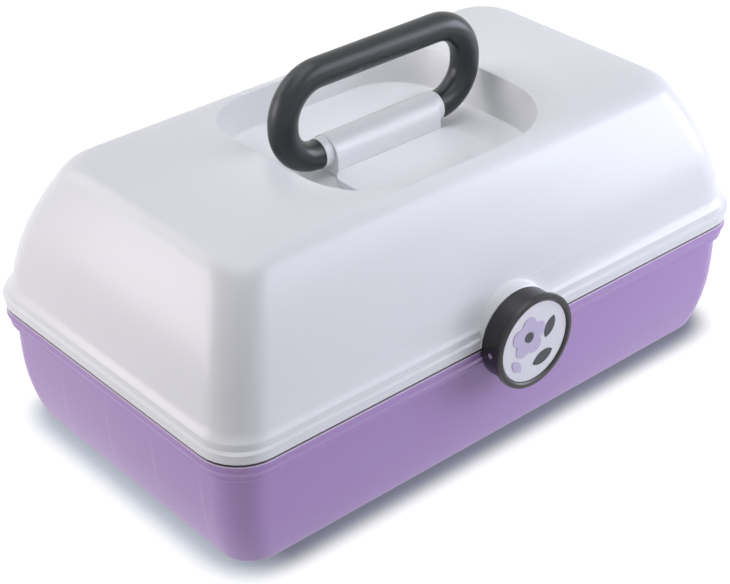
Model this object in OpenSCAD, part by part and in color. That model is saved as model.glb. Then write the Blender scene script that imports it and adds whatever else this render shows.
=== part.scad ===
// Carry case for make-up: a two-tone moulded case with a domed lid, a folding carry handle in a
// well on top, a round rocking latch, and inside a tilting mirror and a tray that the lid lifts.
// X runs along the case, -Y is the front, +Z is up. The origin is the centre of the underside.

/* [Case] */
// Length of the case along the seam between base and lid
case_length = 330; // [322:1:345]
// Depth of the case along the seam
case_depth = 191; // [187:1:200]
// Height of the base up to the seam
base_height = 65.4; // [64:0.2:70]
// Radius of the upright corners along the seam
corner_radius = 22; // [19:0.5:25]
// Thickness of the moulded walls
wall = 2.4; // [2:0.1:2.7]
// Open gap between the rims of base and lid
seam_gap = 0.8; // [0.4:0.1:1]

/* [Base profile] */
// How far the base wall stands in under its rim
base_step = 4.6; // [4.2:0.1:5.4]
// Height of the stepped rim under the seam
rim_band = 11.6; // [11:0.2:13]
// Extra draw-in of the end walls above the bottom edge
end_tuck = 6.6; // [3:0.2:9]
// Extra draw-in of the front and back walls above the bottom edge
side_tuck = 5.4; // [3:0.2:8]
// Rounding along the bottom edge
base_fillet = 7; // [5:0.5:9]
// Height of the lip inside the seam that keeps dust out
lip_height = 2.8; // [2:0.2:3.4]

/* [Lid profile] */
// How far the lid wall stands in above its rim
lid_step = 2.8; // [2.4:0.1:3.4]
// Height above the seam where the lid wall turns into the shoulder
lid_wall_height = 70.6; // [70:0.2:74]
// Draw-in of the lid wall between the rim and the shoulder
lid_lean = 21.8; // [19:0.2:23]
// Radius of the rounded shoulder
shoulder_radius = 12.5; // [11:0.5:14]
// Slope of the top where it leaves the shoulder, degrees
top_slope = 9.4; // [5:0.2:12]
// Rise of the crowned top above its edge
crown = 3.8; // [2.5:0.1:5]

/* [Well for the handle] */
// Half-length of the well at its top edge
well_half_length = 67.5; // [66:0.5:74]
// Strip of top left between the shoulder and the well at the front and back
well_margin = 2.6; // [2.4:0.1:4]
// Plan corner radius of the well at its top edge
well_corner = 36; // [32:1:38]
// Draft of the well's walls between top edge and floor
well_draft = 2.8; // [2:0.2:3.4]
// Thickness of the well's side walls
well_wall = 1.6; // [1.2:0.1:1.7]
// Radius of the barrel that the handle turns in
boss_radius = 9.6; // [8.8:0.1:10.4]
// Drop of the barrel's centre below the handle's pivot
boss_drop = 2; // [1.4:0.1:2.1]
// Radius of the barrel's necks around the pivot
neck_radius = 7.4; // [6:0.1:7.5]
// Length of each neck beyond the barrel
neck_length = 4.6; // [3:0.2:6]
// Gap between the folded handle and the floor of the well
fold_gap = 3.4; // [2:0.2:4]

/* [Handle] */
// Height of the handle's pivot above the seam
pivot_height = 69.1; // [68.6:0.1:69.8]
// Distance between the centre lines of the handle's two uprights
handle_span = 113.4; // [112:0.2:114.4]
// Height of the grip's centre line above the pivot
handle_rise = 41.2; // [40.2:0.2:43]
// Radius of the round handle section
grip_radius = 7.1; // [6.6:0.1:7.4]
// Centre-line radius of the handle's upper bends
bend_radius = 20.6; // [17:0.2:21.6]
// Centre-line radius of the handle's lower bends
low_bend_radius = 18.8; // [17:0.2:19.8]
// Straight length between each lower bend and the barrel
stub_length = 0.4; // [0.2:0.1:1.6]
// Radius of the pegs at the ends of the handle
peg_radius = 3; // [2.5:0.1:3.5]
// Length of each peg
peg_length = 8; // [6:0.5:10]

/* [Latch] */
// Height of the latch's centre above the seam
latch_height = 1.5; // [1:0.1:2]
// Outer radius of the latch drum
drum_radius = 22.5; // [21.5:0.1:23]
// Gap between the rim of the case and the back of the drum
drum_gap = 1; // [0.9:0.1:1.6]
// Length of the drum behind its bezel
drum_length = 9.5; // [9:0.1:10.4]
// Outer radius of the bezel ring
bezel_radius = 23.9; // [23.4:0.1:24.6]
// Thickness of the bezel ring
bezel_thickness = 3; // [2.6:0.1:3.6]
// Radius of the recess for the badge disc
badge_recess = 20.6; // [19.6:0.1:21]
// Radius of the latch's pivot pin
latch_pin_radius = 1.3; // [1:0.1:1.6]

/* [Lid hinge] */
// Distance of the hinge axis behind the seam
hinge_out = 4.2; // [4.1:0.1:5]
// Radius of the hinge knuckles
knuckle_radius = 3.6; // [3.2:0.1:3.7]
// Radius of the hinge pins
hinge_pin_radius = 1.5; // [1.2:0.1:1.8]
// Distance of each hinge from the middle of the case
hinge_x = 92; // [60:1:110]
// Length of the lid's middle knuckle
lid_knuckle = 16; // [12:1:20]
// Length of each of the base's two knuckles
base_knuckle = 8; // [6:1:10]

/* [Tray and its arms] */
// Gap between the tray's ends and the inner walls
tray_end_gap = 12; // [11.4:0.2:13]
// Distance from the middle of the case to the tray's front wall
tray_front = 34; // [30:1:38]
// Distance from the middle of the case to the tray's back wall
tray_back = 66; // [62:1:70]
// Height of the tray's walls
tray_height = 26; // [22:1:28]
// Height of the tray's top edge above the seam
tray_top = 3.6; // [2.4:0.2:4]
// Thickness of the tray's walls and floor
tray_wall = 1.8; // [1.4:0.1:2.4]
// Distance of the lid's tray pivot in front of the hinge axis
link_reach = 50.2; // [48:0.2:52]
// Height of the lid's tray pivot above the hinge axis
link_rise = 8.4; // [8:0.1:9]
// Distance of the arms' pivots in front of the matching upper pivots
arm_shift = 69.7; // [66:0.1:72]
// Drop of the arms' pivots below the matching upper pivots
arm_drop = 9.4; // [9:0.1:10]
// Thickness of the arms
arm_thickness = 3; // [2.4:0.1:3.2]
// Width of the arms
arm_width = 8; // [7:0.5:8.6]
// Radius of the tray's pivot pins
tray_pin_radius = 1.6; // [1.2:0.1:1.8]

/* [Mirror] */
// Length of the mirror frame
mirror_length = 190; // [160:2:204]
// Depth of the mirror frame from front to back
mirror_depth = 110; // [90:1:112]
// Overhang of the mirror frame behind its hinge axis
mirror_overhang = 4; // [3.4:0.2:5]
// Thickness of the mirror frame
mirror_thickness = 3.4; // [3:0.1:4]
// Width of the frame around the glass
mirror_border = 7; // [5:0.5:10]
// Thickness of the mirror glass
glass_thickness = 1.6; // [1.2:0.1:2]
// Distance of the mirror's hinge axis in front of the back edge of the well's underside
mirror_axis_inset = 3.6; // [3.4:0.1:5]
// Distance of each mirror hinge from the middle of the case
mirror_hinge_x = 40; // [30:1:46]
// Radius of the mirror hinge knuckles
mirror_knuckle = 3.2; // [2.8:0.1:3.4]
// Radius of the mirror hinge pins
mirror_pin_radius = 1.3; // [1:0.1:1.5]

/* [Dividers] */
// Distance of the long divider in front of the middle of the case
divider_y = 40; // [38:1:50]
// Distance of each cross divider from the middle of the case
divider_x = 55; // [40:1:90]
// Thickness of the dividers
divider_thickness = 1.8; // [1.4:0.1:2.4]
// Height of the dividers
divider_height = 35; // [28:1:36]
// Distance of each small tray divider from the middle of the case
tray_divider_x = 48; // [30:1:80]

/* [Hidden] */

$fn = 48;
run = 0.05;          // running clearance around pins, on the radius
gap = 0.4;           // plain clearance between faces that pass each other
merge = 1;           // how far a joined feature reaches into its wall
half_length = case_length / 2;
half_depth = case_depth / 2;
seam = base_height;

bead_reach = 0.4;                   // how far the lid's bead stands out

// Rim beads and grooves, as [inset, distance from the seam], read away from the seam
base_rim = [[0.9, 0], [0.4, 0.5], [0.4, 2.9], [0.1, 3.3], [0.1, 3.8], [0.7, 4.3], [1.1, 5.4],
            [1.7, 7.8], [1.5, 8.3], [1.6, 8.9], [2.4, 9.8]];
lid_rim = [[0.4, seam_gap], [0, seam_gap + 0.5], [0, 5.2], [-bead_reach, 5.6], [-bead_reach, 6.1],
           [0.2, 6.6], [1, 7], [1.1, 10.2], [1.5, 10.8], [2.5, 12], [3.1, 13.2]];
lid_wall_start = 14.8;              // height above the seam where the lid's plain wall starts
lip_inset = 3.7;                    // outer face of the dust lip
lid_rim_inner = lip_inset - 0.5;    // inner face of the lid's rim, clear of the lip
lip_wall = 2.2;
floor_thickness = 2.6;

// Base wall: inset at a height z for a given tuck
foot_start = 20;                     // angle where the foot's rounding meets the wall
wall_bottom = base_fillet * (1 - sin(foot_start));
wall_top = seam - rim_band;
function tucked(z, tuck) = base_step + tuck * pow((wall_top - z) / (wall_top - wall_bottom), 3);
base_corner = corner_radius - base_step;

// Lid wall and shoulder
function lean(h) = lid_step + lid_lean * pow(h / lid_wall_height, 2);
lean_angle = atan(2 * lid_lean / lid_wall_height);
shoulder_inset = lean(lid_wall_height) + shoulder_radius * cos(lean_angle);
shoulder_height = lid_wall_height - shoulder_radius * sin(lean_angle);
function shoulder(angle, r) = [shoulder_inset - r * cos(angle), shoulder_height + r * sin(angle)];
shoulder_end = shoulder(90 - top_slope, shoulder_radius);
corner_shrink = 0.1;                // corner radius lost per millimetre that the lid's wall draws in
function lid_corner(inset) = corner_radius - corner_shrink * max(inset, 0);
top_half_length = half_length - shoulder_end.x;
top_half_depth = half_depth - shoulder_end.x;
top_edge_z = seam + shoulder_end.y;
function crown_at(x, y) = crown * (1 - pow(min(abs(y) / top_half_depth, 1), 2.2))
                                * (1 - pow(min(abs(x) / top_half_length, 1), 4));

// Well and handle
pivot_z = seam + pivot_height;
well_half_depth = top_half_depth - well_margin;
well_floor = pivot_z - grip_radius - fold_gap;
well_edge = 1.5;                    // rounding of the well's top edge
well_foot = 3;                      // rounding around the well's floor
floor_half_length = well_half_length - well_draft;
floor_half_depth = well_half_depth - well_draft;
floor_corner = well_corner - 4;
handle_half = handle_span / 2;
boss_half_length = handle_half - low_bend_radius - stub_length - gap;
barrel_half_length = boss_half_length - neck_length;
barrel_axis = [0, pivot_z - boss_drop];
shelf_height = 3.6;
shelf_overhang = 5.5;               // how far the shelf runs past each end of the barrel

// Latch
latch_z = seam + latch_height;
drum_back = -half_depth - drum_gap;
drum_front = drum_back - drum_length;
bezel_front = drum_front - bezel_thickness;
badge_thickness = 1.2;
badge_front = bezel_front + 1;
web_front = badge_front + badge_thickness;
web_thickness = 1.6;
drum_wall = 2;
lug_radius = latch_pin_radius + 1.6;
latch_axis = [web_front + web_thickness + 0.5 + lug_radius, seam + 0.4];
lug_x = 14;
lug_width = 4;
hook_reach = 1;                     // grip of the hook behind the lid's bead
hook_height = 7.4;                  // underside of the hook above the seam
hook_thickness = 2;
hook_width = 14;
collar_inner = drum_radius - drum_wall;
collar_outer = drum_radius + 0.4;
collar_front = drum_back + gap;

// Lid hinge
hinge_axis = [half_depth + hinge_out, seam + seam_gap / 2];
hinge_length = lid_knuckle + 2 * base_knuckle + 2 * gap;

// Tray, arms and their pivots, as [y, z]
tray_half_length = half_length - base_step - wall - tray_end_gap;
tray_z1 = seam + tray_top;
tray_z0 = tray_z1 - tray_height;
lid_pivot = hinge_axis + [-link_reach, link_rise];
arm_base = hinge_axis - [arm_shift, arm_drop];
arm_top = lid_pivot - [arm_shift, arm_drop];
arm_length = norm(arm_top - arm_base);
arm_angle = atan2(arm_top.y - arm_base.y, arm_top.x - arm_base.x);
head_radius = tray_pin_radius + 1.4;
head_thickness = 1;
arm_inner = tray_half_length + gap + head_thickness + 0.1;
arm_outer = arm_inner + arm_thickness;
tray_ear = 4.8;
pivot_boss = 4;

// Mirror
well_under = well_floor - wall;
mirror_axis_y = floor_half_depth - well_foot - mirror_axis_inset;
mirror_back = mirror_axis_y + mirror_overhang;
mirror_middle = mirror_back - mirror_depth / 2;
mirror_axis_z = well_under - mirror_knuckle - 3.4;
mirror_top = mirror_axis_z - mirror_knuckle - 0.6;
mirror_bottom = mirror_top - mirror_thickness;
mirror_knuckle_length = 8;
mirror_lug_length = 4.2;
mirror_pin_length = mirror_knuckle_length + 2 * mirror_lug_length + 2 * gap;

// Dividers
divider_top = floor_thickness + 0.2 + divider_height;
divider_clear = 0.5;

// One ring of a shell: a rectangle with round corners and divided straight sides, at height z
corner_steps = 8;
long_steps = 4;
short_steps = 2;
function side(p, q, n) = [for (i = [1:n - 1]) p + (q - p) * i / n];
function outline(a, b, r, long_n = long_steps, short_n = short_steps) =
    let (c = [for (k = [0:3]) [for (i = [0:corner_steps])
            let (t = 90 * k + 90 * i / corner_steps)
            [(k == 0 || k == 3 ? 1 : -1) * (a - r) + r * cos(t),
             (k < 2 ? 1 : -1) * (b - r) + r * sin(t)]]])
    concat(c[0], side(c[0][corner_steps], c[1][0], long_n),
           c[1], side(c[1][corner_steps], c[2][0], short_n),
           c[2], side(c[2][corner_steps], c[3][0], long_n),
           c[3], side(c[3][corner_steps], c[0][0], short_n));
function ring(a, b, r, z) = [for (p = outline(a, b, r)) [p.x, p.y, z]];
// The same ring laid on the crowned top, a distance below it
function top_ring(a, b, r, below) =
    [for (p = outline(a, b, r)) [p.x, p.y, top_edge_z + crown_at(p.x, p.y) - below]];

// A closed skin over a list of rings, capped at the first and the last around their middles
module loft(rings) {
    n = len(rings[0]);
    m = len(rings);
    at = function (i, j) i * n + (j % n);
    polyhedron(
        points = concat([for (r = rings) each r], [[0, 0, rings[0][0].z], [0, 0, rings[m - 1][0].z]]),
        faces = concat(
            [for (j = [0:n - 1]) [at(0, j), at(0, j + 1), m * n]],
            [for (i = [0:m - 2]) for (j = [0:n - 1]) each
                [[at(i, j), at(i + 1, j), at(i + 1, j + 1)], [at(i, j), at(i + 1, j + 1), at(i, j + 1)]]],
            [for (j = [0:n - 1]) [at(m - 1, j + 1), at(m - 1, j), m * n + 1]]),
        convexity = 10);
}

// Rings of the base at height z: outer skin with the wall's tuck, or moved in by a thickness
function base_ring(z, inward = 0) =
    ring(half_length - tucked(z, end_tuck) - inward, half_depth - tucked(z, side_tuck) - inward,
         base_corner - inward, z);
// Rounded foot: angle 0 is level with the axis of the rounding, 90 is the underside
function base_foot(angle, inward = 0) =
    let (r = base_fillet - inward,
         back = base_fillet * cos(foot_start) - r * cos(angle))
    ring(half_length - tucked(wall_bottom, end_tuck) - back,
         half_depth - tucked(wall_bottom, side_tuck) - back,
         base_corner - back, base_fillet - r * sin(angle));
function rim_ring(inset, z) =
    ring(half_length - inset, half_depth - inset, corner_radius - inset, z);
// Ring of the lid at a height above the seam: outer skin, or moved in by a thickness
function lid_ring(inset, h, inward = 0) =
    ring(half_length - inset - inward, half_depth - inset - inward, lid_corner(inset) - inward, seam + h);

// Plate with round corners, drawn flat
module plate_outline(w, d, r) {
    square([w - 2 * r, d], center = true);
    square([w, d - 2 * r], center = true);
    for (x = [-1, 1]) for (y = [-1, 1]) translate([x * (w / 2 - r), y * (d / 2 - r)]) circle(r);
}

// Round bar along X from x0 to x1 through [y, z]
module bar_x(x0, x1, at, r) {
    translate([x0, at.x, at.y]) rotate([0, 90, 0]) cylinder(h = x1 - x0, r = r);
}

// Outline in the YZ plane, extruded along X from x0 to x1
module slab_x(x0, x1) {
    translate([x0, 0, 0]) rotate([90, 0, 90]) linear_extrude(x1 - x0) children();
}

// Block that carries a bar of radius r at [y, z] on a face at height z1, with a little draft
module bar_block(x0, x1, at, r, z1) {
    s = sign(z1 - at.y);
    slab_x(x0, x1) polygon([[at.x - r * cos(10), at.y + s * r * sin(10)],
                            [at.x + r * cos(10), at.y + s * r * sin(10)],
                            [at.x + r * 1.04, z1], [at.x - r * 1.04, z1]]);
}

module both_ends() {
    children();
    mirror([1, 0, 0]) children();
}

module base_body() {
    steps = 7;
    loft(concat(
        [for (t = [90:-14:foot_start]) base_foot(t)],
        [for (i = [1:steps]) base_ring(wall_bottom + (wall_top - wall_bottom) * i / steps)],
        [for (i = [len(base_rim) - 1:-1:0]) rim_ring(base_rim[i].x, seam - base_rim[i].y)],
        [rim_ring(lip_inset, seam), rim_ring(lip_inset, seam + lip_height - 0.5),
         rim_ring(lip_inset + 0.4, seam + lip_height),
         rim_ring(lip_inset + lip_wall - 0.4, seam + lip_height),
         rim_ring(lip_inset + lip_wall, seam + lip_height - 0.5),
         rim_ring(lip_inset + lip_wall, seam - rim_band + 3)],
        [for (i = [steps - 1:-1:1]) base_ring(wall_bottom + (wall_top - wall_bottom) * i / steps, wall)],
        [for (t = [foot_start:16:68]) base_foot(t, wall)],
        [let (r = base_foot(90, wall)) [for (p = r) [p.x, p.y, floor_thickness]]]));
}

module base_knuckles() {
    for (s = [-1, 1]) translate([s * hinge_x, 0, 0]) for (e = [-1, 1]) {
        x0 = e > 0 ? lid_knuckle / 2 + gap : -lid_knuckle / 2 - gap - base_knuckle;
        bar_x(x0, x0 + base_knuckle, hinge_axis, knuckle_radius);
        slab_x(x0, x0 + base_knuckle)
            polygon([[half_depth - 1.8, seam - 6], [half_depth - 1.8, seam - 0.6],
                     [hinge_axis.x - 1, seam - 0.6], hinge_axis,
                     [hinge_axis.x + knuckle_radius * cos(60), hinge_axis.y - knuckle_radius * sin(60)]]);
    }
}

module latch_lugs() {
    for (s = [-1, 1]) {
        x0 = s * lug_x - lug_width / 2;
        bar_x(x0, x0 + lug_width, latch_axis, lug_radius);
        slab_x(x0, x0 + lug_width)
            polygon([[latch_axis.x - lug_radius * 0.8, latch_axis.y - lug_radius * 0.6],
                     [latch_axis.x, latch_axis.y], [latch_axis.x + 2, seam - 1.6],
                     [-half_depth + 1.6, seam - 1.6], [-half_depth + 1.6, seam - 6.5],
                     [-half_depth - 1, seam - 6.5]]);
    }
}

module base_shell() color([0.66, 0.56, 0.76]) difference() {
    union() {
        base_body();
        base_knuckles();
        latch_lugs();
        both_ends() bar_x(arm_outer + 0.5, half_length - base_step - 0.6, arm_base, 4.5);
    }
    for (s = [-1, 1])
        bar_x(s * hinge_x - hinge_length / 2 - 1, s * hinge_x + hinge_length / 2 + 1, hinge_axis,
              hinge_pin_radius + run);
    bar_x(-lug_x - lug_width, lug_x + lug_width, latch_axis, latch_pin_radius + run);
    both_ends() bar_x(arm_outer, arm_outer + 7, arm_base, tray_pin_radius + run);
}

module lid_body() {
    wall_steps = 6;
    arc_steps = 5;
    top = function (t, below, e) let (
            a = top_half_length + (well_half_length + e - top_half_length) * t,
            b = top_half_depth + (well_half_depth + e - top_half_depth) * t,
            r = lid_corner(shoulder_end.x) + (well_corner + e - lid_corner(shoulder_end.x)) * t)
        top_ring(a, b, r, below);
    wall_h = function (i) lid_wall_start + (lid_wall_height - lid_wall_start) * i / wall_steps;
    arc = function (i) lean_angle + (90 - top_slope - lean_angle) * i / arc_steps;
    loft(concat(
        // underside of the well, up its outer sides and out under the top
        [ring(floor_half_length - well_foot, floor_half_depth - well_foot, floor_corner - well_foot,
              well_under),
         ring(floor_half_length + well_wall - 0.9, floor_half_depth + well_wall - 0.9, floor_corner,
              well_under + 0.9),
         ring(floor_half_length + well_wall, floor_half_depth + well_wall, floor_corner + well_wall,
              well_floor + 1),
         top_ring(well_half_length + well_wall, well_half_depth + well_wall, well_corner + well_wall, wall)],
        [for (t = [0.66, 0.33]) top(t, wall, well_wall)],
        // down the inside
        [for (i = [arc_steps:-1:0]) let (o = shoulder(arc(i), shoulder_radius),
                                         p = shoulder(arc(i), shoulder_radius - wall))
            lid_ring(o.x, p.y, p.x - o.x)],
        [for (i = [wall_steps - 1:-1:0]) lid_ring(lean(wall_h(i)), wall_h(i), wall)],
        [lid_ring(0, lip_height + 3.2, lid_rim_inner + 2.2), lid_ring(0, lip_height + 1, lid_rim_inner),
         lid_ring(0, seam_gap, lid_rim_inner)],
        // up the outside
        [for (p = lid_rim) lid_ring(p.x, p.y)],
        [for (i = [0:wall_steps - 1]) lid_ring(lean(wall_h(i)), wall_h(i))],
        [for (i = [0:arc_steps]) let (p = shoulder(arc(i), shoulder_radius)) lid_ring(p.x, p.y)],
        // in over the crowned top and down into the well
        [for (t = [0.33, 0.66, 1]) top(t, 0, well_edge)],
        [top_ring(well_half_length + well_edge * 0.3, well_half_depth + well_edge * 0.3,
                  well_corner + well_edge * 0.3, well_edge * 0.3),
         top_ring(well_half_length, well_half_depth, well_corner, well_edge),
         ring(floor_half_length, floor_half_depth, floor_corner, well_floor + well_foot),
         ring(floor_half_length - well_foot * 0.3, floor_half_depth - well_foot * 0.3,
              floor_corner - well_foot * 0.3, well_floor + well_foot * 0.3),
         ring(floor_half_length - well_foot, floor_half_depth - well_foot, floor_corner - well_foot,
              well_floor)]));
}

// Barrel that the handle turns in, its necks, and the low shelf from it to the front of the well
module handle_boss() {
    bar_x(-barrel_half_length, barrel_half_length, barrel_axis, boss_radius);
    bar_block(-barrel_half_length, barrel_half_length, barrel_axis, boss_radius, well_floor - merge);
    bar_x(-boss_half_length, boss_half_length, [0, pivot_z], neck_radius);
    translate([0, -(boss_radius + floor_half_depth) / 2 + 1, well_floor - merge])
        linear_extrude(merge + shelf_height)
        plate_outline(2 * (barrel_half_length + shelf_overhang), floor_half_depth - boss_radius, 10);
}

module lid_knuckles() {
    for (s = [-1, 1]) {
        x0 = s * hinge_x - lid_knuckle / 2;
        bar_x(x0, x0 + lid_knuckle, hinge_axis, knuckle_radius);
        slab_x(x0, x0 + lid_knuckle)
            polygon([[half_depth - 1.8, seam + seam_gap + 0.6], [half_depth - 1.8, seam + 4],
                     [hinge_axis.x + knuckle_radius * cos(60), hinge_axis.y + knuckle_radius * sin(60)],
                     hinge_axis, [hinge_axis.x - 1, seam + seam_gap + 0.6]]);
    }
}

// Low collar on the lid behind the upper half of the drum, flared out into the wall
collar_flare = [[-0.6, 0], [-0.1, 0.5], [0, 3], [0.2, 4.6], [0.7, 5.8], [1.6, 6.8], [3, 7.6], [5, 8.2]];
module latch_collar() {
    behind = [for (h = [34, 28, 21, lid_wall_start]) [-half_depth + lean(h) + wall / 2, seam + h]];
    intersection() {
        translate([0, 0, latch_z]) rotate([90, 0, 0]) rotate_extrude($fn = 96) polygon(concat(
            [[collar_inner, -collar_front - 12], [collar_inner, -collar_front]],
            [for (p = collar_flare) [collar_outer + p.x, -collar_front - p.y]],
            [[collar_outer + 5, -collar_front - 12]]));
        slab_x(-2 * collar_outer, 2 * collar_outer) polygon(concat(
            [[collar_front - 1, seam + seam_gap + 1], [collar_front - 1, seam + 40],
             [-half_depth + lean(34) + wall / 2, seam + 40]],
            behind,
            [[-half_depth + 2.9, seam + 10], [-half_depth + 1.8, seam + 5.6],
             [-half_depth + 1.6, seam + seam_gap + 1]]));
    }
}

module mirror_lugs() {
    for (s = [-1, 1]) for (e = [-1, 1]) {
        x0 = s * mirror_hinge_x + e * (mirror_knuckle_length / 2 + gap + mirror_lug_length / 2)
             - mirror_lug_length / 2;
        bar_x(x0, x0 + mirror_lug_length, [mirror_axis_y, mirror_axis_z], mirror_knuckle);
        bar_block(x0, x0 + mirror_lug_length, [mirror_axis_y, mirror_axis_z], mirror_knuckle,
                  well_under + merge);
    }
}

module lid_shell() color([0.88, 0.89, 0.92]) difference() {
    union() {
        lid_body();
        handle_boss();
        lid_knuckles();
        latch_collar();
        mirror_lugs();
        both_ends() bar_x(tray_half_length + 0.5, half_length - lid_rim_inner - 0.2, lid_pivot, pivot_boss);
    }
    both_ends() bar_x(boss_half_length - peg_length - 1, boss_half_length + 1, [0, pivot_z], peg_radius + run);
    for (s = [-1, 1]) {
        bar_x(s * hinge_x - hinge_length, s * hinge_x + hinge_length, hinge_axis, hinge_pin_radius + run);
        bar_x(s * mirror_hinge_x - mirror_pin_length / 2 - 1, s * mirror_hinge_x + mirror_pin_length / 2 + 1,
              [mirror_axis_y, mirror_axis_z], mirror_pin_radius + run);
    }
    both_ends() bar_x(tray_half_length, tray_half_length + 9, lid_pivot, tray_pin_radius + run);
}

// Quarter of a ring in the XZ plane around [x, z], starting at an angle
module bend(at, r, from) {
    translate([at.x, 0, at.y]) rotate([90, 0, 0]) rotate(from)
        rotate_extrude(angle = 90) translate([r, 0]) circle(grip_radius);
}

module handle() color([0.2, 0.22, 0.23]) {
    x0 = handle_half - low_bend_radius;
    x1 = handle_half - bend_radius;
    low = pivot_z + low_bend_radius;
    high = pivot_z + handle_rise - bend_radius;
    bar_x(-x1, x1, [0, pivot_z + handle_rise], grip_radius);
    both_ends() {
        bend([x1, high], bend_radius, 0);
        translate([handle_half, 0, low]) cylinder(h = high - low, r = grip_radius);
        bend([x0, low], low_bend_radius, 270);
        bar_x(boss_half_length + gap, x0, [0, pivot_z], grip_radius);
        bar_x(boss_half_length - peg_length, x0, [0, pivot_z], peg_radius);
    }
}

// Round body about the latch's centre line, from y0 back to y1
module latch_round(y0, y1, r) {
    translate([0, y1, latch_z]) rotate([90, 0, 0]) cylinder(h = y1 - y0, r = r, $fn = 96);
}

module latch_drum() color([0.17, 0.17, 0.18]) difference() {
    union() {
        difference() {
            latch_round(drum_front, drum_back, drum_radius);
            latch_round(web_front + web_thickness, drum_back + 1, drum_radius - drum_wall);
            latch_round(drum_front - 1, web_front, badge_recess);
        }
        latch_round(web_front, web_front + web_thickness, badge_recess - 0.1);
        nose = -half_depth - bead_reach + hook_reach;
        translate([-hook_width / 2, web_front + web_thickness - 0.1, seam + hook_height])
            cube([hook_width, nose - web_front - web_thickness + 0.1, hook_thickness]);
    }
    bar_x(-drum_radius - 1, drum_radius + 1, latch_axis, latch_pin_radius + run);
}

module latch_bezel() color([0.17, 0.17, 0.18]) translate([0, drum_front, latch_z]) rotate([90, 0, 0])
    rotate_extrude($fn = 96) polygon([
        [badge_recess + 0.1, 0], [bezel_radius - 0.5, 0], [bezel_radius, 0.5],
        [bezel_radius, bezel_thickness - 1], [bezel_radius - 0.3, bezel_thickness - 0.3],
        [bezel_radius - 1, bezel_thickness], [badge_recess + 0.9, bezel_thickness],
        [badge_recess + 0.1, bezel_thickness - 0.8]]);

module latch_badge() color([0.93, 0.92, 0.95])
    latch_round(badge_front, web_front, badge_recess - 0.2);

// Flat motif on the badge, drawn in the badge's own plane with x to the right and y up
motif_thickness = 0.3;
module badge_motif() {
    translate([0, badge_front, latch_z]) rotate([90, 0, 0]) linear_extrude(motif_thickness) children();
}

blossom = [-4, 4];                   // middle of the blossom on the badge
module leaf(at, turn, size) {
    translate(at) rotate(turn) intersection() {
        translate([0, -size * 0.75]) circle(size * 1.25);
        translate([0, size * 0.75]) circle(size * 1.25);
    }
}

module badge_dark_motif() color([0.24, 0.26, 0.3]) badge_motif() {
    translate(blossom) circle(2.6);
    leaf([9.4, 4.4], 62, 5.6);
    leaf([5.6, -10.6], 16, 6.4);
}

module badge_lilac_motif() color([0.74, 0.68, 0.82]) badge_motif() {
    difference() {
        for (k = [0:4]) translate(blossom) rotate(18 + 72 * k) translate([6.2, 0]) circle(4.4);
        translate(blossom) circle(3);
    }
    leaf([-11.4, -9], 128, 4.6);
}

module latch_pin() color([0.75, 0.76, 0.78])
    bar_x(-drum_radius + 0.1, drum_radius - 0.1, latch_axis, latch_pin_radius);

module hinge_pin(s) color([0.75, 0.76, 0.78])
    bar_x(s * hinge_x - hinge_length / 2, s * hinge_x + hinge_length / 2, hinge_axis, hinge_pin_radius);

module mirror_frame() color([0.9, 0.9, 0.93]) {
    difference() {
        translate([0, mirror_middle, mirror_bottom]) linear_extrude(mirror_thickness)
            plate_outline(mirror_length, mirror_depth, 10);
        translate([0, mirror_middle, mirror_bottom - 1]) linear_extrude(glass_thickness + 1.2)
            plate_outline(mirror_length - 2 * mirror_border, mirror_depth - 2 * mirror_border, 6);
    }
    for (s = [-1, 1]) difference() {
        x0 = s * mirror_hinge_x - mirror_knuckle_length / 2;
        union() {
            bar_x(x0, x0 + mirror_knuckle_length, [mirror_axis_y, mirror_axis_z], mirror_knuckle);
            bar_block(x0, x0 + mirror_knuckle_length, [mirror_axis_y, mirror_axis_z], mirror_knuckle,
                      mirror_top - merge);
        }
        bar_x(x0 - 1, x0 + mirror_knuckle_length + 1, [mirror_axis_y, mirror_axis_z], mirror_pin_radius + run);
    }
}

module mirror_glass() color([0.8, 0.85, 0.88])
    translate([0, mirror_middle, mirror_bottom + 0.2]) linear_extrude(glass_thickness)
        plate_outline(mirror_length - 2 * mirror_border - 0.4, mirror_depth - 2 * mirror_border - 0.4, 5.8);

module mirror_pin(s) color([0.75, 0.76, 0.78])
    bar_x(s * mirror_hinge_x - mirror_pin_length / 2, s * mirror_hinge_x + mirror_pin_length / 2,
          [mirror_axis_y, mirror_axis_z], mirror_pin_radius);

tray_middle = (tray_back - tray_front) / 2;
tray_depth = tray_back + tray_front;
tray_corner = 8;
rail_y = 16;                         // partition between the tray's front and back rows
module tray() color([0.72, 0.64, 0.8]) difference() {
    union() {
        difference() {
            translate([0, tray_middle, tray_z0]) linear_extrude(tray_height)
                plate_outline(2 * tray_half_length, tray_depth, tray_corner);
            translate([0, tray_middle, tray_z0 + tray_wall]) linear_extrude(tray_height)
                plate_outline(2 * (tray_half_length - tray_wall), tray_depth - 2 * tray_wall,
                              tray_corner - tray_wall);
        }
        translate([-tray_half_length + 1, rail_y - tray_wall / 2, tray_z0 + 1])
            cube([2 * tray_half_length - 2, tray_wall, tray_height - 5]);
        for (s = [-1, 1]) translate([s * tray_divider_x - tray_wall / 2, rail_y, tray_z0 + 1])
            cube([tray_wall, tray_back - rail_y - 1, tray_height - 5]);
        both_ends() {
            bar_x(tray_half_length - tray_wall, tray_half_length, lid_pivot, tray_ear);
            translate([tray_half_length - tray_wall, lid_pivot.x - tray_ear, tray_z1 - 1])
                cube([tray_wall, 2 * tray_ear, lid_pivot.y - tray_z1 + 1]);
        }
    }
    both_ends() {
        bar_x(tray_half_length - 5, tray_half_length + 1, lid_pivot, tray_pin_radius + run);
        bar_x(tray_half_length - 5, tray_half_length + 1, arm_top, tray_pin_radius + run);
    }
}

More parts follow.
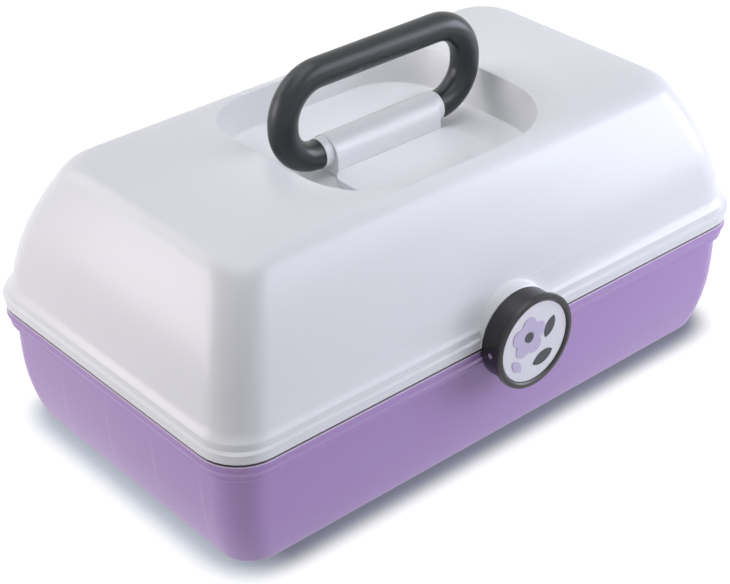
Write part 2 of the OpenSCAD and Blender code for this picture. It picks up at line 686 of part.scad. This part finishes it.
// Loose divider across the front row of the tray
module tray_divider(s) color([0.9, 0.9, 0.93])
    translate([s * tray_divider_x - tray_wall / 2, -tray_front + tray_wall + 0.2, tray_z0 + tray_wall + 0.05])
        cube([tray_wall, tray_front + rail_y - 1.5 * tray_wall - 0.4, tray_height - 7]);

module tray_arm() color([0.2, 0.22, 0.23]) slab_x(arm_inner, arm_outer)
    translate(arm_base) rotate(arm_angle) difference() {
        union() {
            translate([0, -arm_width / 2]) square([arm_length, arm_width]);
            circle(arm_width / 2);
            translate([arm_length, 0]) circle(arm_width / 2);
        }
        circle(tray_pin_radius + run);
        translate([arm_length, 0]) circle(tray_pin_radius + 2 * run);
    }

// Headed pin along X: the head lies at x0, the shank runs to x1
module rivet(x0, x1, at) color([0.75, 0.76, 0.78]) {
    bar_x(min(x0, x1), max(x0, x1), at, tray_pin_radius);
    head = x0 + sign(x0 - x1) * head_thickness;
    bar_x(min(x0, head), max(x0, head), at, head_radius);
}

module arm_rivet() rivet(arm_inner - 0.1, arm_outer + 6, arm_base);
module tray_rivet() rivet(arm_outer + 0.1, tray_half_length - tray_wall, arm_top);
module lid_rivet() rivet(tray_half_length - tray_wall - 0.1, tray_half_length + 8, lid_pivot);

// Half-size that a divider may take inside the base at height z
foot_radius = base_fillet - wall;
function inside(z, half, tuck) = half - divider_clear
    - (z > base_fillet - foot_radius * sin(foot_start) ? tucked(z, tuck) + wall
       : tucked(wall_bottom, tuck) + base_fillet * cos(foot_start)
         - foot_radius * sqrt(1 - pow((base_fillet - z) / foot_radius, 2)));
divider_levels = [for (i = [0:8]) floor_thickness + 0.2 + divider_height * i / 8];

module divider_long() color([0.9, 0.9, 0.93])
    translate([0, -divider_y + divider_thickness / 2, 0]) rotate([90, 0, 0]) linear_extrude(divider_thickness)
        polygon(concat([for (z = divider_levels) [inside(z, half_length, end_tuck), z]],
                       [for (i = [8:-1:0])
                           [-inside(divider_levels[i], half_length, end_tuck), divider_levels[i]]]));

module divider_cross(s) color([0.9, 0.9, 0.93])
    slab_x(s * divider_x - divider_thickness / 2, s * divider_x + divider_thickness / 2)
        polygon(concat([for (z = divider_levels) [-inside(z, half_depth, side_tuck), z]],
                       [[-divider_y - divider_thickness / 2 - 0.3, divider_top],
                        [-divider_y - divider_thickness / 2 - 0.3, divider_levels[0]]]));

base_shell();
lid_shell();
handle();
latch_drum();
latch_bezel();
latch_badge();
badge_dark_motif();
badge_lilac_motif();
latch_pin();
hinge_pin(-1);  // hinge_pin_left
hinge_pin(1);  // hinge_pin_right
mirror_frame();
mirror_glass();
mirror_pin(-1);  // mirror_pin_left
mirror_pin(1);  // mirror_pin_right
tray();
tray_divider(-1);  // tray_divider_left
tray_divider(1);  // tray_divider_right
mirror([1, 0, 0]) tray_arm();  // tray_arm_left
tray_arm();  // tray_arm_right
mirror([1, 0, 0]) arm_rivet();  // arm_rivet_left
arm_rivet();  // arm_rivet_right
mirror([1, 0, 0]) tray_rivet();  // tray_rivet_left
tray_rivet();  // tray_rivet_right
mirror([1, 0, 0]) lid_rivet();  // lid_rivet_left
lid_rivet();  // lid_rivet_right
divider_long();
divider_cross(-1);  // divider_cross_left
divider_cross(1);  // divider_cross_right
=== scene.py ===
import math

import bpy
from mathutils import Matrix, Vector

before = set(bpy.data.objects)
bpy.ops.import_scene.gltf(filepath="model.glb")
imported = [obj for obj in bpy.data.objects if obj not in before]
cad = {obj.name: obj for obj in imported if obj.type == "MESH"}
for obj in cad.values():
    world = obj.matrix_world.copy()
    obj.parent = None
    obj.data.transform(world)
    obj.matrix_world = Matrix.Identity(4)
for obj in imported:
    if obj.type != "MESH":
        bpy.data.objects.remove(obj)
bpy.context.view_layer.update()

# ---------------------------------------------------------------------------------------------
# Base shell: the lower half, injection moulded in one shot of satin lavender polypropylene with
# a fine spark-eroded grain. The rim is stepped and beaded, and the hinge knuckles, the latch lugs
# and the two arm pivots inside are moulded on.


def rgb(r, g, b):
    """A colour given as 0 to 255, as the linear values that a shader takes."""
    def lin(v):
        v /= 255
        return v / 12.92 if v <= 0.04045 else ((v + 0.055) / 1.055) ** 2.4
    return (lin(r), lin(g), lin(b), 1)


def group(name, inputs, outputs):
    """A new shader node group with its sockets, and its input and output nodes."""
    tree = bpy.data.node_groups.new(name, "ShaderNodeTree")
    for label, kind, value in inputs:
        socket = tree.interface.new_socket(label, in_out="INPUT", socket_type=kind)
        socket.default_value = value
    for label, kind in outputs:
        tree.interface.new_socket(label, in_out="OUTPUT", socket_type=kind)
    return tree, tree.nodes.new("NodeGroupInput"), tree.nodes.new("NodeGroupOutput")


def add(tree, kind, values=None, **fields):
    """A node with its fields set, and values or links for its inputs."""
    node = tree.nodes.new(kind)
    for key, value in fields.items():
        setattr(node, key, value)
    for key, value in (values or {}).items():
        if isinstance(value, bpy.types.NodeSocket):
            tree.links.new(value, node.inputs[key])
        else:
            node.inputs[key].default_value = value
    return node


def calc(tree, operation, *values):
    """The result of a Math node on numbers or sockets."""
    return add(tree, "ShaderNodeMath", dict(enumerate(values)), operation=operation).outputs[0]


def ramp(tree, value, start, end, low=0.0, high=1.0, eased=False):
    """A socket's range start to end turned into low to high, and held beyond both ends."""
    return add(tree, "ShaderNodeMapRange",
               {"Value": value, "From Min": start, "From Max": end, "To Min": low, "To Max": high},
               interpolation_type="SMOOTHSTEP" if eased else "LINEAR").outputs[0]


def blend(tree, factor, a, b):
    """Colour a turned into colour b by a factor."""
    return add(tree, "ShaderNodeMix", {"Factor": factor, "A": a, "B": b},
               data_type="RGBA").outputs["Result"]


def noise(tree, place, scale, detail, roughness=0.5, distortion=0.0):
    """The value of a noise texture at a place."""
    return add(tree, "ShaderNodeTexNoise",
               {"Vector": place, "Scale": scale, "Detail": detail, "Roughness": roughness,
                "Distortion": distortion}).outputs["Fac"]


def own_place(tree):
    """The place on the piece itself, in metres."""
    return add(tree, "ShaderNodeTexCoord").outputs["Object"]


def openness(tree, distance, samples):
    """How open a surface is to the space around it: 1 in the open, 0 in a closed gap."""
    return add(tree, "ShaderNodeAmbientOcclusion", {"Distance": distance},
               samples=samples).outputs["AO"]


COLOUR, NUMBER, ARROW = "NodeSocketColor", "NodeSocketFloat", "NodeSocketVector"
gap_reach = 0.0028   # how far the shade looks for the other side of a gap

# Moulded surface: fine grain, slow clouding of the tint where the melt met, light handling
# marks, and painted shade that darkens narrow gaps between parts
moulded, src, out = group(
    "moulded surface",
    [("Colour", COLOUR, (0.5, 0.5, 0.5, 1)), ("Clouding", NUMBER, 0.05),
     ("Roughness", NUMBER, 0.4), ("Grain size", NUMBER, 0.0006), ("Grain depth", NUMBER, 0.1),
     ("Marks", NUMBER, 0.1), ("Painted seam shade", NUMBER, 0.0)],
    [("Colour", COLOUR), ("Roughness", NUMBER), ("Normal", ARROW)])
given = src.outputs
place = own_place(moulded)
slow = noise(moulded, place, 9.0, 3.0, 0.45)
grain = noise(moulded, place, calc(moulded, "DIVIDE", 1.0, given["Grain size"]), 2.0, 0.6)
long_way = add(moulded, "ShaderNodeMapping", {"Vector": place, "Rotation": (0.3, 0.2, 0.6),
                                              "Scale": (1.0, 14.0, 9.0)}).outputs[0]
rub_lines = ramp(moulded, noise(moulded, long_way, 70.0, 6.0, 0.72), 0.58, 0.72, eased=True)
rubbed = ramp(moulded, slow, 0.45, 0.7, eased=True)
marks = calc(moulded, "MULTIPLY", rub_lines, rubbed)
marks = calc(moulded, "MULTIPLY", marks, given["Marks"])
cloud = ramp(moulded, slow, 0.25, 0.75, -1.0, 1.0)
cloud = calc(moulded, "MULTIPLY", cloud, given["Clouding"])
tint = add(moulded, "ShaderNodeHueSaturation",
           {"Color": given["Colour"], "Value": calc(moulded, "ADD", cloud, 1.0)}).outputs[0]
pale = blend(moulded, marks, tint, (0.9, 0.9, 0.92, 1))
rough = calc(moulded, "MULTIPLY", cloud, 0.9)
rough = calc(moulded, "ADD", rough, given["Roughness"])
rough = calc(moulded, "MULTIPLY_ADD", marks, 0.35, rough)
bump = add(moulded, "ShaderNodeBump", {"Strength": given["Grain depth"], "Distance": 0.0002,
                                       "Height": grain}).outputs[0]
# Painted shade: the colour goes near black where another surface closes in within gap_reach
shut = ramp(moulded, openness(moulded, gap_reach, 12), 0.3, 0.66, 1.0, 0.0, eased=True)
shade = calc(moulded, "MULTIPLY", shut, given["Painted seam shade"])
seam_shaded_skin = blend(moulded, shade, pale, (0.01, 0.004, 0.012, 1))
for name, socket in (("Colour", seam_shaded_skin), ("Roughness", rough), ("Normal", bump)):
    moulded.links.new(socket, out.inputs[name])


def plastic(name, colour, roughness, clouding=0.03, grain_size=0.0006, grain_depth=0.15,
            marks=0.08, coat=0.0, coat_roughness=0.1, specular=0.5, painted_seam_shade=0.0):
    """A material of the moulded surface with its own values."""
    material = bpy.data.materials.new(name)
    material.use_nodes = True
    tree = material.node_tree
    shader = tree.nodes["Principled BSDF"]
    surface = add(tree, "ShaderNodeGroup", node_tree=moulded)
    for key, number in (("Colour", colour), ("Clouding", clouding), ("Roughness", roughness),
                        ("Grain size", grain_size), ("Grain depth", grain_depth),
                        ("Marks", marks), ("Painted seam shade", painted_seam_shade)):
        surface.inputs[key].default_value = number
    for key, socket in (("Base Color", "Colour"), ("Roughness", "Roughness"),
                        ("Normal", "Normal")):
        tree.links.new(surface.outputs[socket], shader.inputs[key])
    shader.inputs["Coat Weight"].default_value = coat
    shader.inputs["Coat Roughness"].default_value = coat_roughness
    shader.inputs["Specular IOR Level"].default_value = specular
    return material


# Smooth shading over the CAD's facets, with real edges kept
smoothing = bpy.data.node_groups.new("smooth moulding", "GeometryNodeTree")
smoothing.interface.new_socket("Geometry", in_out="INPUT",
                               socket_type="NodeSocketGeometry")
angle_in = smoothing.interface.new_socket("Angle", in_out="INPUT", socket_type=NUMBER)
smoothing.interface.new_socket("Geometry", in_out="OUTPUT",
                               socket_type="NodeSocketGeometry")
src, out = smoothing.nodes.new("NodeGroupInput"), smoothing.nodes.new("NodeGroupOutput")
joined = add(smoothing, "GeometryNodeMergeByDistance",
             {"Geometry": src.outputs["Geometry"], "Distance": 2e-6})
plain = add(smoothing, "GeometryNodeRemoveAttribute",
            {"Geometry": joined.outputs[0], "Name": "custom_normal"})
round_faces = add(smoothing, "GeometryNodeSetShadeSmooth",
                  {"Geometry": plain.outputs[0], "Shade Smooth": True}, domain="FACE")
edge = add(smoothing, "GeometryNodeInputMeshEdgeAngle")
hard = add(smoothing, "FunctionNodeCompare",
           {0: edge.outputs["Unsigned Angle"], 1: src.outputs["Angle"]},
           data_type="FLOAT", operation="GREATER_THAN")
hard_edges = add(smoothing, "GeometryNodeSetShadeSmooth",
                 {"Geometry": round_faces.outputs[0], "Selection": hard.outputs[0],
                  "Shade Smooth": False}, domain="EDGE")
smoothing.links.new(hard_edges.outputs[0], out.inputs["Geometry"])


def finish(name, material, bevel=0.0, angle=30):
    """Gives a CAD node its material, smooth shading and, if asked, small rounded edges."""
    node = cad[name]
    node.data.materials.clear()
    node.data.materials.append(material)
    smooth = node.modifiers.new("smooth", "NODES")
    smooth.node_group = smoothing
    smooth[angle_in.identifier] = math.radians(angle)
    if bevel:
        edge_round = node.modifiers.new("edges", "BEVEL")
        edge_round.width = bevel
        edge_round.segments = 2
        edge_round.limit_method = "ANGLE"
        edge_round.angle_limit = math.radians(35)
        edge_round.use_clamp_overlap = True
        edge_round.harden_normals = True


# Painted seam shade darkens the base's narrow gaps strongly
lavender = plastic("satin lavender", rgb(179, 146, 203), 0.33, clouding=0.02,
                   grain_size=0.0005, grain_depth=0.2, marks=0.05, painted_seam_shade=0.8)
tree = lavender.node_tree
body_colour = tree.nodes["Principled BSDF"].inputs["Base Color"]
plain_skin = body_colour.links[0].from_socket
place = own_place(tree)
spot = add(tree, "ShaderNodeSeparateXYZ", {"Vector": place}).outputs

# Faint upright flow lines that the melt left on the two end walls
line_spacing = 0.0365
line_phase = 20.24       # puts one line about 6 mm behind the middle of the wall
wander = 0.006           # how far a line strays from straight
along = calc(tree, "MULTIPLY_ADD", noise(tree, place, 22.0, 1.0), wander, spot["Y"])
along = calc(tree, "MULTIPLY_ADD", along, 1 / line_spacing, line_phase)
streak = ramp(tree, calc(tree, "PINGPONG", along, 0.5), 0.45, 0.5, eased=True)
at_end = ramp(tree, calc(tree, "ABSOLUTE", spot["X"]), 0.146, 0.151)
above_foot = ramp(tree, spot["Z"], 0.01, 0.02)
below_rim = ramp(tree, spot["Z"], 0.052, 0.036)
line_strength = 0.11
for mask in (at_end, above_foot, below_rim, line_strength):
    streak = calc(tree, "MULTIPLY", streak, mask)
flowed = blend(tree, streak, plain_skin, (0.8, 0.72, 0.86, 1))

# The rim's top edge: a painted highlight on its corner, and painted shade in the parting line
# under a closed lid. Both stay on the outward and slanted faces of the rim, off its flat top and
# the dust lip.
rim_top = 0.0654
catch_from, catch_full = rim_top - 0.001, rim_top - 0.00085
parting_from, parting_full = rim_top - 0.00043, rim_top - 0.00028
facing = add(tree, "ShaderNodeNewGeometry").outputs["True Normal"]
outward = add(tree, "ShaderNodeVectorMath", {0: facing, 1: place}, operation="DOT_PRODUCT")
outward = calc(tree, "GREATER_THAN", outward.outputs["Value"], 0.03)
facing_up = add(tree, "ShaderNodeSeparateXYZ", {"Vector": facing}).outputs["Z"]
rim = calc(tree, "MULTIPLY", outward, calc(tree, "LESS_THAN", facing_up, 0.9))
rim = calc(tree, "MULTIPLY", rim, calc(tree, "LESS_THAN", spot["Z"], rim_top + 0.00002))
# Painted highlight: a paler band on the rim's edge just under its top
catch = ramp(tree, spot["Z"], catch_from, catch_full, 0.0, 0.7)
highlit = blend(tree, calc(tree, "MULTIPLY", catch, rim), flowed, (0.88, 0.76, 0.9, 1))
# Painted shade: the parting line goes near black only where a closed lid covers it
covered = ramp(tree, openness(tree, gap_reach, 12), 0.82, 0.95, 0.9, 0.0)
parting = ramp(tree, spot["Z"], parting_from, parting_full)
parting = calc(tree, "MULTIPLY", calc(tree, "MULTIPLY", parting, rim), covered)
parting_shaded = blend(tree, parting, highlit, (0.03, 0.012, 0.028, 1))
tree.links.new(parting_shaded, body_colour)
finish("base_shell", lavender, angle=38)

# ---------------------------------------------------------------------------------------------
# Lid shell: the domed upper half, moulded in pearl white polypropylene with a polished tool, so
# it is glossier than the base. The well, the handle's barrel and the collar round the latch are
# part of the same moulding.

# Painted seam shade darkens the lid's narrow gaps a little less than the base's
pearl = plastic("gloss pearl white", rgb(239, 239, 240), 0.3, clouding=0.012,
                grain_size=0.004, grain_depth=0.06, marks=0.04, coat=0.08,
                coat_roughness=0.12, painted_seam_shade=0.6)
finish("lid_shell", pearl)

# ---------------------------------------------------------------------------------------------
# Handle: a solid loop of charcoal plastic with a smooth, slightly hazy gloss. Its two ends turn
# in towards each other and snap into the barrel on pegs.

charcoal = plastic("charcoal gloss", rgb(41, 45, 46), 0.3, clouding=0.06, grain_size=0.0012,
                   grain_depth=0.12, marks=0.12, specular=0.42)
finish("handle", charcoal, bevel=0.0004)

# ---------------------------------------------------------------------------------------------
# Latch: a round drum of black plastic that rocks on a cross pin, with a raised bezel and a disc
# set in it. The disc is glossy white with two flat inlays, one lilac and one dark, that make a
# blossom and its leaves.

black = plastic("latch black", rgb(34, 32, 35), 0.3, clouding=0.04, grain_size=0.0012,
                grain_depth=0.1, marks=0.1)
finish("latch_drum", black, bevel=0.0003)
finish("latch_bezel", black)

disc_white = plastic("badge white", rgb(236, 234, 240), 0.25, clouding=0.01,
                     grain_size=0.003, grain_depth=0.03, marks=0.03, coat=0.3)
finish("latch_badge", disc_white, bevel=0.0002)
finish("badge_lilac_motif", plastic("badge lilac", rgb(206, 194, 222), 0.3, marks=0.03))
finish("badge_dark_motif", plastic("badge charcoal", rgb(60, 62, 70), 0.3, marks=0.03))

# ---------------------------------------------------------------------------------------------
# Pins and rivets: steel wire that a die drew and brushed along its length, cut to size. Each is
# held by one of the pieces that it joins, and the other turns on it.

steel = bpy.data.materials.new("drawn steel")
steel.use_nodes = True
tree = steel.node_tree
shader = tree.nodes["Principled BSDF"]
drawn = add(tree, "ShaderNodeMapping", {"Vector": own_place(tree), "Scale": (0.05, 1.0, 1.0)})
lines = noise(tree, drawn.outputs[0], 4000.0, 3.0)
bump = add(tree, "ShaderNodeBump", {"Strength": 0.15, "Distance": 0.0001, "Height": lines})
shader.inputs["Base Color"].default_value = rgb(196, 198, 202)
shader.inputs["Metallic"].default_value = 1.0
tree.links.new(ramp(tree, lines, 0.0, 1.0, 0.22, 0.48), shader.inputs["Roughness"])
tree.links.new(bump.outputs[0], shader.inputs["Normal"])
finish("latch_pin", steel, bevel=0.0002)
for pair in ("hinge_pin_", "mirror_pin_", "arm_rivet_", "tray_rivet_", "lid_rivet_"):
    for side in ("left", "right"):
        finish(pair + side, steel, bevel=0.0002)

# ---------------------------------------------------------------------------------------------
# Mirror: silvered glass pressed into a moulded white frame that hangs from two hinges under the
# handle well.

white = plastic("moulded white", rgb(226, 226, 234), 0.35, clouding=0.015, marks=0.05)
finish("mirror_frame", white, bevel=0.0004)

silver = bpy.data.materials.new("silvered glass")
silver.use_nodes = True
tree = silver.node_tree
shader = tree.nodes["Principled BSDF"]
smears = noise(tree, own_place(tree), 60.0, 5.0, distortion=1.5)
shader.inputs["Base Color"].default_value = rgb(236, 240, 242)
shader.inputs["Metallic"].default_value = 1.0
tree.links.new(ramp(tree, smears, 0.5, 0.8, 0.015, 0.09), shader.inputs["Roughness"])
finish("mirror_glass", silver, bevel=0.0003)

# ---------------------------------------------------------------------------------------------
# Tray: a lilac moulding that hangs between the lid's pivots and two charcoal arms, so it rises
# and moves back level as the lid opens. Two loose white dividers stand in its front row.

tray_lilac = plastic("tray lilac", rgb(190, 172, 210), 0.4, clouding=0.02, grain_depth=0.2,
                     marks=0.06)
finish("tray", tray_lilac, bevel=0.0004)
for side in ("left", "right"):
    finish("tray_divider_" + side, white, bevel=0.0003)
    finish("tray_arm_" + side, charcoal, bevel=0.0004)

# ---------------------------------------------------------------------------------------------
# Base dividers: thin strips of the same white plastic as the mirror's frame. The long one runs
# from end to end, and the two short ones stand between it and the front wall.

for name in ("divider_long", "divider_cross_left", "divider_cross_right"):
    finish(name, white, bevel=0.0003)

# ---------------------------------------------------------------------------------------------
# Studio: a pale floor that keeps the shadow, soft boxes all round, a small lamp over the handle
# well, and a camera where the photographer stood.

scene = bpy.context.scene
floor_reach = 6.0
floor_drop = 0.0002      # keeps the floor clear of the case's underside
floor_mesh = bpy.data.meshes.new("floor")
floor_mesh.from_pydata(
    [(floor_reach * x, floor_reach * y, 0) for x, y in ((-1, -1), (1, -1), (1, 1), (-1, 1))],
    [], [(0, 1, 2, 3)])
floor = bpy.data.objects.new("floor", floor_mesh)
scene.collection.objects.link(floor)
floor.location.z = -floor_drop


def seen_straight(tree):
    """1 for camera, glossy and transmission rays, and 0 for the rays that only carry light."""
    ray = add(tree, "ShaderNodeLightPath").outputs
    seen = calc(tree, "MAXIMUM", ray["Is Camera Ray"], ray["Is Glossy Ray"])
    return calc(tree, "MAXIMUM", seen, ray["Is Transmission Ray"])


# The floor is mostly its own white where it is seen, with the shadow in the rest. A painted
# shadow darkens it by the case: bluish and light along the left end, deeper along the front
paper = bpy.data.materials.new("pale floor")
paper.use_nodes = True
tree = paper.node_tree
tree.nodes.clear()
own_white, own_glow = 0.8, 1.19
contact_reach = 0.017    # how far from the case the floor darkens
matt = add(tree, "ShaderNodeBsdfDiffuse", {"Color": (0.9, 0.9, 0.9, 1)})
# Painted shadow: the floor's seen colour darkens towards the case by ambient occlusion
contact = ramp(tree, openness(tree, contact_reach, 16), 0.4, 0.98, eased=True)
by_camera = add(tree, "ShaderNodeLightPath").outputs["Is Camera Ray"]
contact = calc(tree, "MAXIMUM", contact, calc(tree, "SUBTRACT", 1.0, by_camera))
spot = add(tree, "ShaderNodeSeparateXYZ", {"Vector": own_place(tree)}).outputs
off_left_end = ramp(tree, spot["X"], -0.162, -0.128)
painted_shadow_tone = blend(tree, off_left_end, (0.5, 0.56, 0.62, 1), (0.13, 0.14, 0.19, 1))
glow = add(tree, "ShaderNodeEmission",
           {"Color": blend(tree, contact, painted_shadow_tone, (1, 1, 1, 1)), "Strength": own_glow})
mixed = add(tree, "ShaderNodeMixShader",
            {0: calc(tree, "MULTIPLY", seen_straight(tree), own_white),
             1: matt.outputs[0], 2: glow.outputs[0]})
add(tree, "ShaderNodeOutputMaterial", {"Surface": mixed.outputs[0]})
floor_mesh.materials.append(paper)

# A white backdrop that is seen and mirrored in full, and lights the case only a little
fill_light = 0.03
world = bpy.data.worlds.new("studio")
scene.world = world
world.use_nodes = True
tree = world.node_tree
tree.nodes.clear()
backdrop = ramp(tree, seen_straight(tree), 0.0, 1.0, fill_light, 1.0)
sky = add(tree, "ShaderNodeBackground", {"Color": (1, 1, 1, 1), "Strength": backdrop})
add(tree, "ShaderNodeOutputWorld", {"Surface": sky.outputs[0]})


case_middle = Vector((0, 0, 0.08))


def heading(azimuth, elevation):
    """The direction from the case to an azimuth (0 is the front, 90 the right) and elevation."""
    a, e = math.radians(azimuth), math.radians(elevation)
    return Vector((math.sin(a) * math.cos(e), -math.cos(a) * math.cos(e), math.sin(e)))


def soft_box(name, azimuth, elevation, watts, colour, size=(1.0, 0.8), distance=1.6):
    """A rectangular area lamp that looks at the middle of the case."""
    lamp = bpy.data.lights.new(name, "AREA")
    lamp.shape = "RECTANGLE"
    lamp.size, lamp.size_y = size
    lamp.energy = watts
    lamp.color = colour
    away = heading(azimuth, elevation)
    holder = bpy.data.objects.new(name, lamp)
    holder.location = case_middle + away * distance
    holder.rotation_mode = "QUATERNION"
    holder.rotation_quaternion = (-away).to_track_quat("-Z", "Y")
    scene.collection.objects.link(holder)
    return holder


soft_box("left low box", -120, 12, 9.0, (1.02, 0.95, 1.03))
soft_box("left box", -150, 35, 4.2, (1.0, 1.01, 0.99))
soft_box("right low box", 60, 12, 11.6, (0.95, 0.96, 1.15))
soft_box("right box", 60, 35, 1.5, (0.92, 1.0, 1.08))
soft_box("front box", 30, 35, 5.5, (0.95, 0.97, 1.12))
soft_box("front high box", -45, 60, 2.4, (1.0, 1.05, 0.95))
soft_box("back high box", 180, 60, 2.3, (0.93, 0.97, 1.1))
soft_box("top box", 0, 89, 5.6, (0.95, 0.98, 1.07), size=(1.0, 1.0))

# A snooted lamp over the handle well, kept out of the reflections
well_lamp = soft_box("well lamp", 0, 89, 0.012, (0.96, 0.98, 1.06), size=(0.12, 0.1),
                     distance=0.9)
well_lamp.location += Vector((0.01, 0.018, 0))
well_lamp.data.spread = math.radians(12)
well_lamp.visible_glossy = False

# Camera fitted to the photograph's own perspective
camera_place = Vector((-0.50454, -0.57499, 0.52588))
back = heading(-40.7617, 32.2571)
roll = math.radians(-0.6834)
right = (-back).cross(Vector((0, 0, 1))).normalized()
up = right.cross(-back)
cam_x = right * math.cos(roll) + up * math.sin(roll)
cam_y = -right * math.sin(roll) + up * math.cos(roll)
turn = Matrix((cam_x, cam_y, back)).transposed()
lens = bpy.data.cameras.new("photo view")
lens.lens = 88.84
lens.sensor_width = 36
lens.clip_start, lens.clip_end = 0.01, 50
camera = bpy.data.objects.new("photo view", lens)
camera.matrix_world = Matrix.Translation(camera_place) @ turn.to_4x4()
scene.collection.objects.link(camera)
scene.camera = camera

scene.view_settings.view_transform = "Standard"
